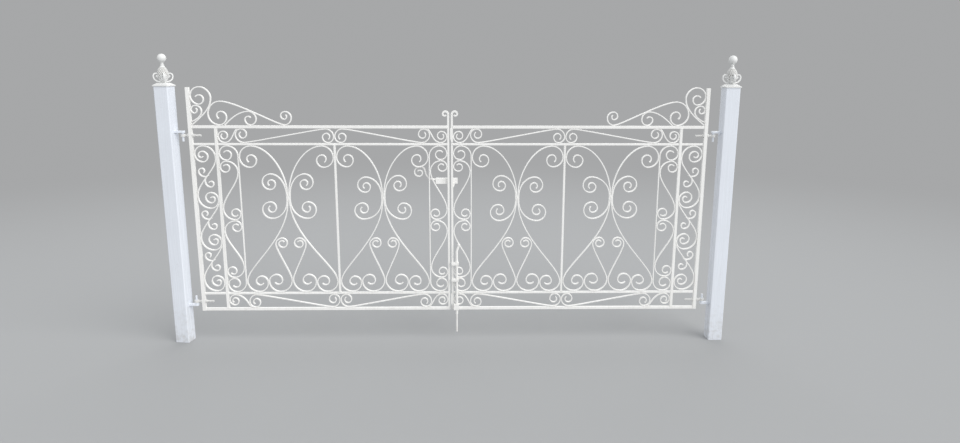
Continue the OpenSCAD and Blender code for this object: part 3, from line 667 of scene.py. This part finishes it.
def thread(build, x0, x1, z, radius, pitch, height):
    """A screw thread along X on a shank, as one helical ridge with rounded crests."""
    per_turn = 20
    run_out = per_turn * 0.6
    steps = int(abs(x1 - x0) / pitch * per_turn)
    way = 1 if x1 > x0 else -1
    rings = []
    for i in range(steps + 1):
        a = 2 * math.pi * i / per_turn
        x = x0 + way * pitch * i / per_turn
        fade = min(1.0, i / run_out, (steps - i) / run_out)
        points = []
        for along, out in THREAD_PROFILE:
            r = radius + height * (out * fade if out > 0 else out)
            points.append(Vector((x + along * pitch * way, r * math.cos(a), z + r * math.sin(a))))
        rings.append(points)
    build.rings(rings)


def eye_bolt_details(node):
    """Threads on both sides of the stile and a thin washer under each nut."""
    settings = bpy.context.scene.gate_detail
    side = node.split("_")[0]
    low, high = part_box(node)
    stile_low, stile_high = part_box(side + "_hanging_stile")
    z = (low.z + high.z) / 2
    if side == "left":
        way, end, inner, outer = 1, high.x, stile_high.x, stile_low.x
    else:
        way, end, inner, outer = -1, low.x, stile_low.x, stile_high.x
    inner += way * NUT_HEIGHT
    outer -= way * NUT_HEIGHT
    threads = Build()
    for x0, x1 in ((inner, end - way * 0.001), (outer, outer - way * OUTER_THREAD)):
        thread(threads, x0, x1, z, SHANK_RADIUS, settings.thread_pitch, settings.thread_height)
    threads.piece(node + "_threads", LEAVES[side], "bolt_paint")

    washers = Build()
    for x, way in ((stile_low.x, -1), (stile_high.x, 1)):
        washers.rings([
            ring(Vector((x + way * out, 0, z)), Y_AXIS, Z_AXIS, r, r, count=32, way=way)
            for out, r in WASHER_PROFILE
        ], closed_ends=False)
    washers.piece(node + "_washers", LEAVES[side], "bolt_paint")


def screw_latch(node, side):
    """Round-headed screws on the back of the latch's case or keep."""
    low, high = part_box(node)
    inset = 0.0065
    left, right, top = low.x + inset, high.x - inset, high.z - inset
    spots = [(left, top), (right, top)]
    if node == "latch_case":
        spots += [(left, low.z + inset), (right, low.z + inset)]
    else:
        spots += [(left, low.z + (high.z - low.z) * 0.25)]
    screws = Build()
    for x, z in spots:
        screws.rings([
            ring(Vector((x, high.y + out, z)), X_AXIS, Z_AXIS, r, r, count=20, way=-1)
            for out, r in SCREW_PROFILE
        ])
    screws.piece(node + "_screws", LEAVES[side], "bolt_paint")


# Finials

BODY_HEIGHT = 0.114
BODY_RADIUS = 0.029
# Turned body as in the frame: radius and height as shares of its own
BODY_SHARES = [
    (0.52, 0.0), (0.62, 0.09), (0.78, 0.19), (0.95, 0.32), (1.0, 0.44),
    (0.92, 0.56), (0.74, 0.67), (0.45, 0.77), (0.28, 0.87), (0.26, 1.0),
]
BODY = [(r * BODY_RADIUS, h * BODY_HEIGHT) for r, h in BODY_SHARES]
RELIEF_TOP = 0.1
# Rings turned on the neck and under the ball: height, radius, and radius of the ring's section
NECK_RINGS = [(0.1005, 0.0086, 0.0017), (0.1125, 0.0088, 0.0021)]
# Where a bud starts, out from the axis and up from the foot, its length, rise and half width
BUD_OUT, BUD_UP, BUD_LENGTH, BUD_RISE, BUD_HALF = 0.021, 0.0295, 0.0165, 0.004, 0.0062


def body_radius(h):
    """Radius of the turned body at a height above its foot."""
    for (r0, h0), (r1, h1) in zip(BODY, BODY[1:]):
        if h <= h1:
            return r0 + (r1 - r0) * (h - h0) / (h1 - h0)
    return BODY[-1][0]


def smoothstep(low, high, x):
    """0 at low, 1 at high and a smooth slope between. High may lie below low."""
    t = max(0.0, min(1.0, (x - low) / (high - low)))
    return t * t * (3 - 2 * t)


def calyx_leaf(angle, h):
    """Height of one of eight ribbed leaves that rise from the body's foot, from 0 to 1."""
    leaves, tip = 8, 0.05
    phase = (angle * leaves / (2 * math.pi)) % 1.0 - 0.5
    half = 0.47 * math.sqrt(max(0.0, 1 - (h / tip) ** 2))
    rib = math.exp(-((phase / 0.06) ** 2))
    veins = 0.5 + 0.5 * math.sin(h * 900 - abs(phase) * 30)
    worked = max(rib, 0.8 * veins * smoothstep(0.06, 0.2, abs(phase)))
    return smoothstep(half, half - 0.1, abs(phase)) * (0.62 + 0.38 * worked)


def lozenge_net(angle, h):
    """Height of a net of crossing strands, from 0 to 0.9."""
    around, rise = 16, 0.0165
    u, v = angle * around / (2 * math.pi), h / rise
    nearest = min(abs(math.sin(math.pi * (u + v))), abs(math.sin(math.pi * (u - v))))
    return 0.9 * smoothstep(0.66, 0.36, nearest)


def relief_at(angle, h):
    """Cast relief on a finial's body, from 0 in the hollows to 1, and how much that place is
    worked at all."""
    worked = smoothstep(0.003, 0.008, h) * smoothstep(0.092, 0.084, h)
    return max(calyx_leaf(angle, h), lozenge_net(angle, h)) * worked + 0.5 * (1 - worked), worked


def add_body_relief(build, foot, turn, height):
    """A skin round the body that carries the relief and sinks into the body at its ends. Its
    hollows get painted shade.
    """
    columns, rows = 256, 150
    cover, sunk = 0.0003, 0.0006
    rings, dirt = [], []
    for i in range(rows + 1):
        h = RELIEF_TOP * i / rows
        out = smoothstep(0.0, 0.004, h) * smoothstep(RELIEF_TOP, RELIEF_TOP - 0.008, h)
        points = []
        for j in range(columns):
            a = 2 * math.pi * j / columns
            value, worked = relief_at(a, h)
            r = body_radius(h) + (value * height + cover) * out - sunk * (1 - out)
            points.append(foot + Vector((r * math.cos(a + turn), r * math.sin(a + turn), h)))
            # Painted shade, deepest in the relief's hollows
            dirt.append(smoothstep(0.5, 0.1, value) * worked)
        rings.append(points)
    build.rings(rings, closed_ends=False, dirt=dirt)


def add_neck_ring(build, foot, z, radius, tube):
    """A round ring about the axis, partly sunk into the neck."""
    sides = 8
    turns = [2 * math.pi * j / sides for j in range(sides + 1)]
    build.rings([
        ring(
            foot + (z + tube * math.sin(b)) * Z_AXIS, X_AXIS, Y_AXIS,
            radius + tube * math.cos(b), radius + tube * math.cos(b), count=40
        )
        for b in turns
    ], closed_ends=False)


def add_bud(build, foot, angle):
    """A leaf that stands out level from the body and turns up to a point."""
    steps = 10
    out = Vector((math.cos(angle), math.sin(angle), 0))
    side = Vector((-math.sin(angle), math.cos(angle), 0))
    rings = []
    for i in range(steps + 1):
        t = i / steps
        middle = foot + out * (BUD_OUT + BUD_LENGTH * t) + Z_AXIS * (BUD_UP + BUD_RISE * t * t)
        half = BUD_HALF * (1 - t) ** 0.75 * (0.75 + 0.9 * t * (1 - t)) + 0.0003
        rings.append(ring(middle, side, Z_AXIS, half * 1.15, half, count=14, way=-1))
    build.rings(rings)


def dress_finial(node):
    """Relief round the body, rings on its neck and a bud inside each of the four handles."""
    low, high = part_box(node)
    foot = Vector(((low.x + high.x) / 2, 0, high.z - BODY_FOOT_TO_BALL_TOP))
    turn = FINIAL_TURN[node]
    build = Build()
    add_body_relief(build, foot, turn, bpy.context.scene.gate_detail.relief)
    for z, radius, tube in NECK_RINGS:
        add_neck_ring(build, foot, z, radius, tube)
    for quarter in range(4):
        add_bud(build, foot, turn + quarter * math.pi / 2)
    build.piece(node + "_relief", "posts", "finial_paint")


# Frame nodes

# Least and most corner between two flats of a curl, and the least corner of an arris
LEAST_CORNER = math.radians(5)
MOST_CORNER = math.radians(30)
ARRIS_CORNER = math.radians(34)


def geometry_group(name, fill):
    """A geometry node group of that name. The first time, fill gets its nodes, its links and its
    geometry coming in, and gives the geometry that goes out."""
    if name in bpy.data.node_groups:
        return bpy.data.node_groups[name]
    group = bpy.data.node_groups.new(name, "GeometryNodeTree")
    for way in ("INPUT", "OUTPUT"):
        group.interface.new_socket("Geometry", in_out=way, socket_type="NodeSocketGeometry")
    source, result = group.nodes.new("NodeGroupInput"), group.nodes.new("NodeGroupOutput")
    group.links.new(fill(group.nodes, group.links, source.outputs[0]), result.inputs[0])
    return group


def join_and_smooth(nodes, links, geometry):
    """Joins the frame's split vertices, drops its own normals and shades every face smooth."""
    plain = nodes.new("GeometryNodeRemoveAttribute")
    plain.inputs["Name"].default_value = "custom_normal"
    merge = nodes.new("GeometryNodeMergeByDistance")
    merge.inputs["Distance"].default_value = 2e-6
    smooth = nodes.new("GeometryNodeSetShadeSmooth")
    links.new(geometry, plain.inputs["Geometry"])
    links.new(plain.outputs[0], merge.inputs["Geometry"])
    links.new(merge.outputs[0], smooth.inputs["Geometry"])
    return smooth.outputs[0]


def mark_curl_corners(nodes, links, geometry):
    """Marks the slight corners along a curl, so that a bevel can round them."""
    angle = nodes.new("GeometryNodeInputMeshEdgeAngle")
    both = nodes.new("FunctionNodeBooleanMath")
    tests = (("LESS_THAN", MOST_CORNER), ("GREATER_THAN", LEAST_CORNER))
    for index, (test, limit) in enumerate(tests):
        compare = nodes.new("FunctionNodeCompare")
        compare.operation = test
        compare.inputs["B"].default_value = limit
        links.new(angle.outputs["Unsigned Angle"], compare.inputs["A"])
        links.new(compare.outputs[0], both.inputs[index])
    store = nodes.new("GeometryNodeStoreNamedAttribute")
    store.data_type = "FLOAT"
    store.domain = "EDGE"
    store.inputs["Name"].default_value = "bevel_weight_edge"
    links.new(geometry, store.inputs["Geometry"])
    links.new(both.outputs[0], store.inputs["Value"])
    return store.outputs[0]


def round_curls(obj):
    """Halves the corners between a curl's flats. Each flat gives up a quarter at either end."""
    mark = obj.modifiers.new("curl_corners", "NODES")
    mark.node_group = geometry_group("marked_curl_corners", mark_curl_corners)
    curls = obj.modifiers.new("curls", "BEVEL")
    curls.limit_method = "WEIGHT"
    curls.offset_type = "PERCENT"
    curls.width_pct = 25
    curls.segments = 1
    curls.use_clamp_overlap = True


def round_arrises(obj, width):
    """Rounds the sharp edges, in the second material, with the flats' shading kept even."""
    bevel = obj.modifiers.new("arris", "BEVEL")
    bevel.width = width
    bevel.segments = 2
    bevel.limit_method = "ANGLE"
    bevel.angle_limit = ARRIS_CORNER
    bevel.use_clamp_overlap = True
    bevel.material = 1
    even = obj.modifiers.new("even_shading", "WEIGHTED_NORMAL")
    even.weight = 85


def dress_node(node, face, edge, width):
    """Paints a CAD node and rounds it with modifiers. Its own mesh stays as it is."""
    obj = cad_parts[node]
    obj.data.materials.clear()
    obj.data.materials.append(material_named(face))
    obj.data.materials.append(material_named(edge))
    join = obj.modifiers.new("joined", "NODES")
    join.node_group = geometry_group("joined_and_smooth", join_and_smooth)
    planar = obj.modifiers.new("planar", "DECIMATE")
    planar.decimate_type = "DISSOLVE"
    planar.angle_limit = math.radians(0.4)
    if node.endswith("_scrolls") or node == "latch_bolt":
        round_curls(obj)
    round_arrises(obj, width)


# Steps

class GATE_OT_dress_frame(bpy.types.Operator):
    """Paint the frame's nodes and round their curls and arrises"""

    bl_idname = "gate.dress_frame"
    bl_label = "Paint the frame"

    def execute(self, context):
        detail = context.scene.gate_detail
        leaf = ("leaf_paint", "leaf_edge_paint", detail.edge_round)
        plan = dict.fromkeys(POSTS + GUDGEONS, ("post_paint", "post_edge_paint", detail.edge_round))
        plan.update(dict.fromkeys(FINIALS, ("finial_paint", "finial_paint", detail.cast_round)))
        plan.update(dict.fromkeys(EYE_BOLTS, ("bolt_paint", "bolt_paint", detail.edge_round)))
        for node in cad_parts:
            dress_node(node, *plan.get(node, leaf))
        return {"FINISHED"}


class GATE_OT_add_welds(bpy.types.Operator):
    """Weld the leaves' bars and the gudgeons, and add drips of paint"""

    bl_idname = "gate.add_welds"
    bl_label = "Add welds and drips"

    def execute(self, context):
        for side in LEAVES:
            weld_leaf(side)
        weld_gudgeons()
        return {"FINISHED"}


class GATE_OT_add_bolt_details(bpy.types.Operator):
    """Add threads and washers to the eye bolts, and screws and welds to the latch"""

    bl_idname = "gate.add_bolt_details"
    bl_label = "Add threads and screws"

    def execute(self, context):
        for node in EYE_BOLTS:
            eye_bolt_details(node)
        for node, side in LATCH_SIDES.items():
            screw_latch(node, side)
        for node, side in LATCH_SIDES.items():
            weld_latch(node, side)
        return {"FINISHED"}


class GATE_OT_add_relief(bpy.types.Operator):
    """Add the cast relief, neck rings and buds of the finials"""

    bl_idname = "gate.add_relief"
    bl_label = "Add the finials' relief"

    def execute(self, context):
        for node in FINIALS:
            dress_finial(node)
        return {"FINISHED"}


# Stage

# Distance from the gate's middle at which the floor starts to fade, and at which it is background
FADE_START, FADE_END = 2.2, 9.0
SKY_COLOUR = (0.96, 0.98, 1.0)
LAMP_COLOUR = (1.0, 0.99, 0.97)
LAMP_SPREAD = math.radians(58)
KEY_DIRECTION = (-0.64, 0.56, -0.53)
BACK_DIRECTION = (-0.1, -0.9, -0.42)
CAMERA_PLACE = (1.7172, -4.2149, 1.6469)
# The camera's turn to the right, its dip and its tilt, in radians
CAMERA_TURN = (0.0211015, 0.2112906, 0.0029108)


def any_seen_ray(add):
    """1 for the rays that show the background: camera, glossy and transmission rays."""
    path = add("ShaderNodeLightPath").outputs
    seen = larger(add, path["Is Camera Ray"], path["Is Glossy Ray"])
    return larger(add, seen, path["Is Transmission Ray"])


def make_world(settings):
    """Even light from all round, and the background's colour where it is seen."""
    world = bpy.data.worlds.new("studio")
    bpy.context.scene.world = world
    add = blank_tree(world)
    light = add("ShaderNodeBackground", in_color=SKY_COLOUR, in_strength=settings.sky_light)
    back = add("ShaderNodeBackground", in_color=tuple(settings.back_colour), in_strength=1.0)
    seen = any_seen_ray(add)
    mix = add("ShaderNodeMixShader", in_0=seen, in_1=light.outputs[0], in_2=back.outputs[0])
    add("ShaderNodeOutputWorld", in_surface=mix.outputs[0])


def make_floor(settings, middle):
    """A plain floor that takes the shadow near the gate and fades to the background far off."""
    half = settings.floor_size / 2
    mesh = bpy.data.meshes.new("studio_floor")
    corners = [(x * half, y * half, 0) for x, y in ((-1, -1), (1, -1), (1, 1), (-1, 1))]
    mesh.from_pydata(corners, [], [(0, 1, 2, 3)])
    floor = bpy.data.objects.new("studio_floor", mesh)
    floor.location = (middle.x, middle.y, 0)
    bpy.context.scene.collection.objects.link(floor)

    material = bpy.data.materials.new("studio_floor")
    add = blank_tree(material)
    place = add("ShaderNodeTexCoord").outputs["Object"]
    far = add("ShaderNodeVectorMath", operation="LENGTH", in_0=place).outputs["Value"]
    fade = add(
        "ShaderNodeMapRange", interpolation_type="SMOOTHSTEP", in_value=far,
        in_from_min=FADE_START, in_from_max=FADE_END
    ).outputs[0]
    near = add("ShaderNodeBsdfDiffuse", in_color=tuple(settings.floor_colour))
    away = add("ShaderNodeEmission", in_color=tuple(settings.back_colour), in_strength=1.0)
    mix = add("ShaderNodeMixShader", in_0=fade, in_1=near.outputs[0], in_2=away.outputs[0])
    add("ShaderNodeOutputMaterial", in_surface=mix.outputs[0])
    mesh.materials.append(material)


def broad_lamp(name, strength, direction):
    """A lamp that lights evenly along a direction, with soft shadows."""
    lamp = bpy.data.lights.new(name, "SUN")
    lamp.energy = strength
    lamp.angle = LAMP_SPREAD
    lamp.color = LAMP_COLOUR
    obj = bpy.data.objects.new(name, lamp)
    obj.rotation_euler = Vector(direction).to_track_quat("-Z", "Y").to_euler()
    bpy.context.scene.collection.objects.link(obj)


def make_camera():
    """The photograph's view: 27 mm on a 36 mm sensor, at an eye height, looking slightly down."""
    turn, dip, tilt = CAMERA_TURN
    level_ahead = Vector((math.sin(turn), math.cos(turn), 0))
    ahead = level_ahead * math.cos(dip) - Z_AXIS * math.sin(dip)
    level = Vector((math.cos(turn), -math.sin(turn), 0))
    above = level.cross(ahead)
    right = math.cos(tilt) * level + math.sin(tilt) * above
    top = math.cos(tilt) * above - math.sin(tilt) * level
    camera = bpy.data.cameras.new("view")
    camera.sensor_fit = "HORIZONTAL"
    camera.sensor_width = 36
    camera.lens = 27
    camera.clip_end = 200
    obj = bpy.data.objects.new("view", camera)
    facing = Matrix((right, top, -ahead)).transposed().to_4x4()
    obj.matrix_world = Matrix.Translation(CAMERA_PLACE) @ facing
    bpy.context.scene.collection.objects.link(obj)
    bpy.context.scene.camera = obj


class GATE_OT_set_stage(bpy.types.Operator):
    """Add the floor, the light, the background and the camera"""

    bl_idname = "gate.set_stage"
    bl_label = "Set the stage"

    def execute(self, context):
        settings = context.scene.gate_stage
        low, high = Vector(CAD_BOX[0]), Vector(CAD_BOX[1])
        make_world(settings)
        make_floor(settings, (low + high) / 2)
        broad_lamp("key_lamp", settings.key_light, KEY_DIRECTION)
        broad_lamp("back_lamp", settings.back_light, BACK_DIRECTION)
        make_camera()
        context.scene.view_settings.view_transform = "Standard"
        return {"FINISHED"}


class GATE_PT_sidebar(bpy.types.Panel):
    """Lists the gate's settings and steps"""

    bl_idname = "GATE_PT_sidebar"
    bl_label = "Driveway gate"
    bl_space_type = "VIEW_3D"
    bl_region_type = "UI"
    bl_category = "Gate"

    def draw(self, context):
        scene = context.scene
        for settings in (scene.gate_paint, scene.gate_detail, scene.gate_stage):
            box = self.layout.box()
            for key in settings.bl_rna.properties.keys():
                if key not in {"rna_type", "name"}:
                    box.prop(settings, key)
        for step in STEPS:
            self.layout.operator(step.bl_idname)


STEPS = [
    GATE_OT_dress_frame, GATE_OT_add_welds, GATE_OT_add_bolt_details, GATE_OT_add_relief,
    GATE_OT_set_stage,
]
GROUPS = {
    "gate_paint": GatePaintSettings,
    "gate_detail": GateDetailSettings,
    "gate_stage": GateStageSettings,
}


def register():
    for cls in [*GROUPS.values(), *STEPS, GATE_PT_sidebar]:
        bpy.utils.register_class(cls)
    for name, cls in GROUPS.items():
        setattr(bpy.types.Scene, name, bpy.props.PointerProperty(type=cls))


def unregister():
    for name in GROUPS:
        delattr(bpy.types.Scene, name)
    for cls in [GATE_PT_sidebar, *reversed(STEPS), *reversed(GROUPS.values())]:
        bpy.utils.unregister_class(cls)


def main():
    register()
    bpy.ops.gate.dress_frame()
    bpy.ops.gate.add_welds()
    bpy.ops.gate.add_bolt_details()
    bpy.ops.gate.add_relief()
    bpy.ops.gate.set_stage()


if __name__ == "__main__":
    main()
